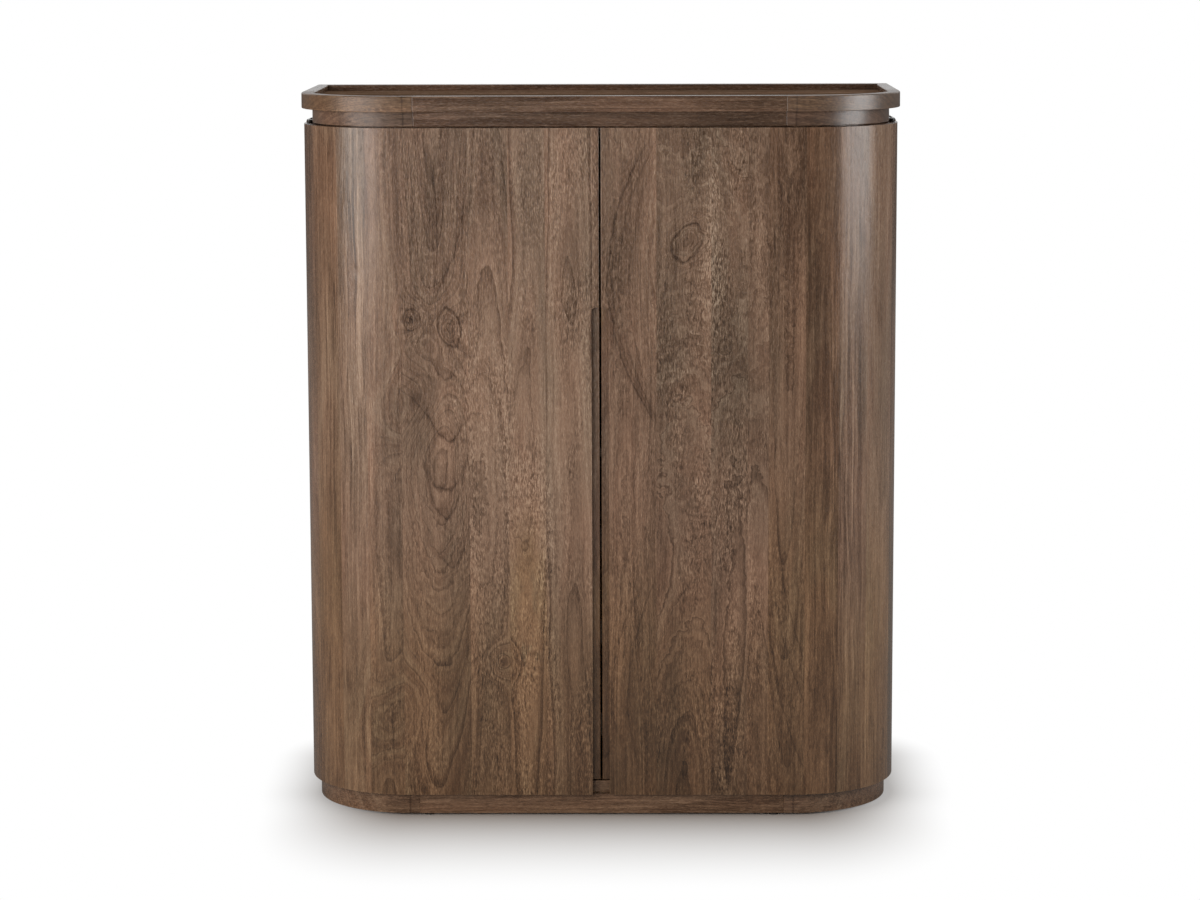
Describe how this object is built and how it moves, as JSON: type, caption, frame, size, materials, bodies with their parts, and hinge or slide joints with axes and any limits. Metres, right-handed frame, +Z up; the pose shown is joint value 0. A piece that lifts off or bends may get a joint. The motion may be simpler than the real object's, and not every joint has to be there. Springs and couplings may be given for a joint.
{
  "type": "bar armoire",
  "caption": "Free-standing wooden bar cabinet: raised-rim tray top, recessed neck and plinth, and curved doors that wrap the front corners over bottle and stemware racks.",
  "frame": {"origin": "on the floor, under the middle of the cabinet's box", "axes": "+Z up, +X to the right as seen from the front, the doors face -Y"},
  "size_m": [1, 0.46, 1.2],
  "materials": {
    "door_wood": "satin brown stain with a grey cast",
    "case_wood": "satin brown stain with a grey cast",
    "inner_wood": "satin brown stain",
    "back_board": "stained plywood",
    "hinge_metal": "black oxide",
    "steel": "zinc plated",
    "black_plastic": "fine texture",
    "rubber": "soft"
  },
  "bodies": {
    "case": {"back_bottle_rail_1": "inner_wood", "back_bottle_rail_2": "inner_wood", "back_bottle_rail_3": "inner_wood", "back_panel": "back_board", "bottom_panel": "case_wood", "door_bumpers": "rubber", "floor_glides": "black_plastic", "front_bottle_rail_1": "inner_wood", "front_bottle_rail_2": "inner_wood", "front_bottle_rail_3": "inner_wood", "hinge_pins": "steel", "hinge_washers": "steel", "left_magnetic_catch": "black_plastic", "left_neck_corner": "case_wood", "left_neck_side_rail": "case_wood", "left_plinth_corner": "case_wood", "left_plinth_side_rail": "case_wood", "left_rack_partition": "inner_wood", "left_side_panel": "case_wood", "left_tray_corner": "case_wood", "left_tray_side_rail": "case_wood", "lower_left_strap": "hinge_metal", "lower_right_strap": "hinge_metal", "mid_shelf": "inner_wood", "neck_back_rail": "case_wood", "neck_battens": "inner_wood", "neck_front_rail": "case_wood", "plinth_back_rail": "case_wood", "plinth_battens": "inner_wood", "plinth_front_rail": "case_wood", "right_magnetic_catch": "black_plastic", "right_neck_corner": "case_wood", "right_neck_side_rail": "case_wood", "right_plinth_corner": "case_wood", "right_plinth_side_rail": "case_wood", "right_rack_partition": "inner_wood", "right_side_panel": "case_wood", "right_tray_corner": "case_wood", "right_tray_side_rail": "case_wood", "stemware_flanges": "inner_wood", "stemware_hangers": "inner_wood", "top_panel": "case_wood", "tray_back_rail": "case_wood", "tray_floor": "case_wood", "tray_front_rail": "case_wood", "upper_left_strap": "hinge_metal", "upper_right_strap": "hinge_metal"},
    "left_door": {"left_door": "door_wood", "left_pull_strip": "inner_wood", "left_strike_plate": "steel", "lower_left_leaf": "hinge_metal", "upper_left_leaf": "hinge_metal"},
    "right_door": {"lower_right_leaf": "hinge_metal", "right_door": "door_wood", "right_pull_strip": "inner_wood", "right_strike_plate": "steel", "upper_right_leaf": "hinge_metal"}
  },
  "joints": [
    {"name": "right_door_hinge", "type": "hinge", "parent": "case", "child": "right_door", "pos_m": [0.4885, -0.037, 0.593], "axis": [0, 0, 1], "range_deg": [0, 105]},
    {"name": "left_door_hinge", "type": "hinge", "parent": "case", "child": "left_door", "pos_m": [-0.4885, -0.037, 0.593], "axis": [0, 0, -1], "range_deg": [0, 105]}
  ]
}
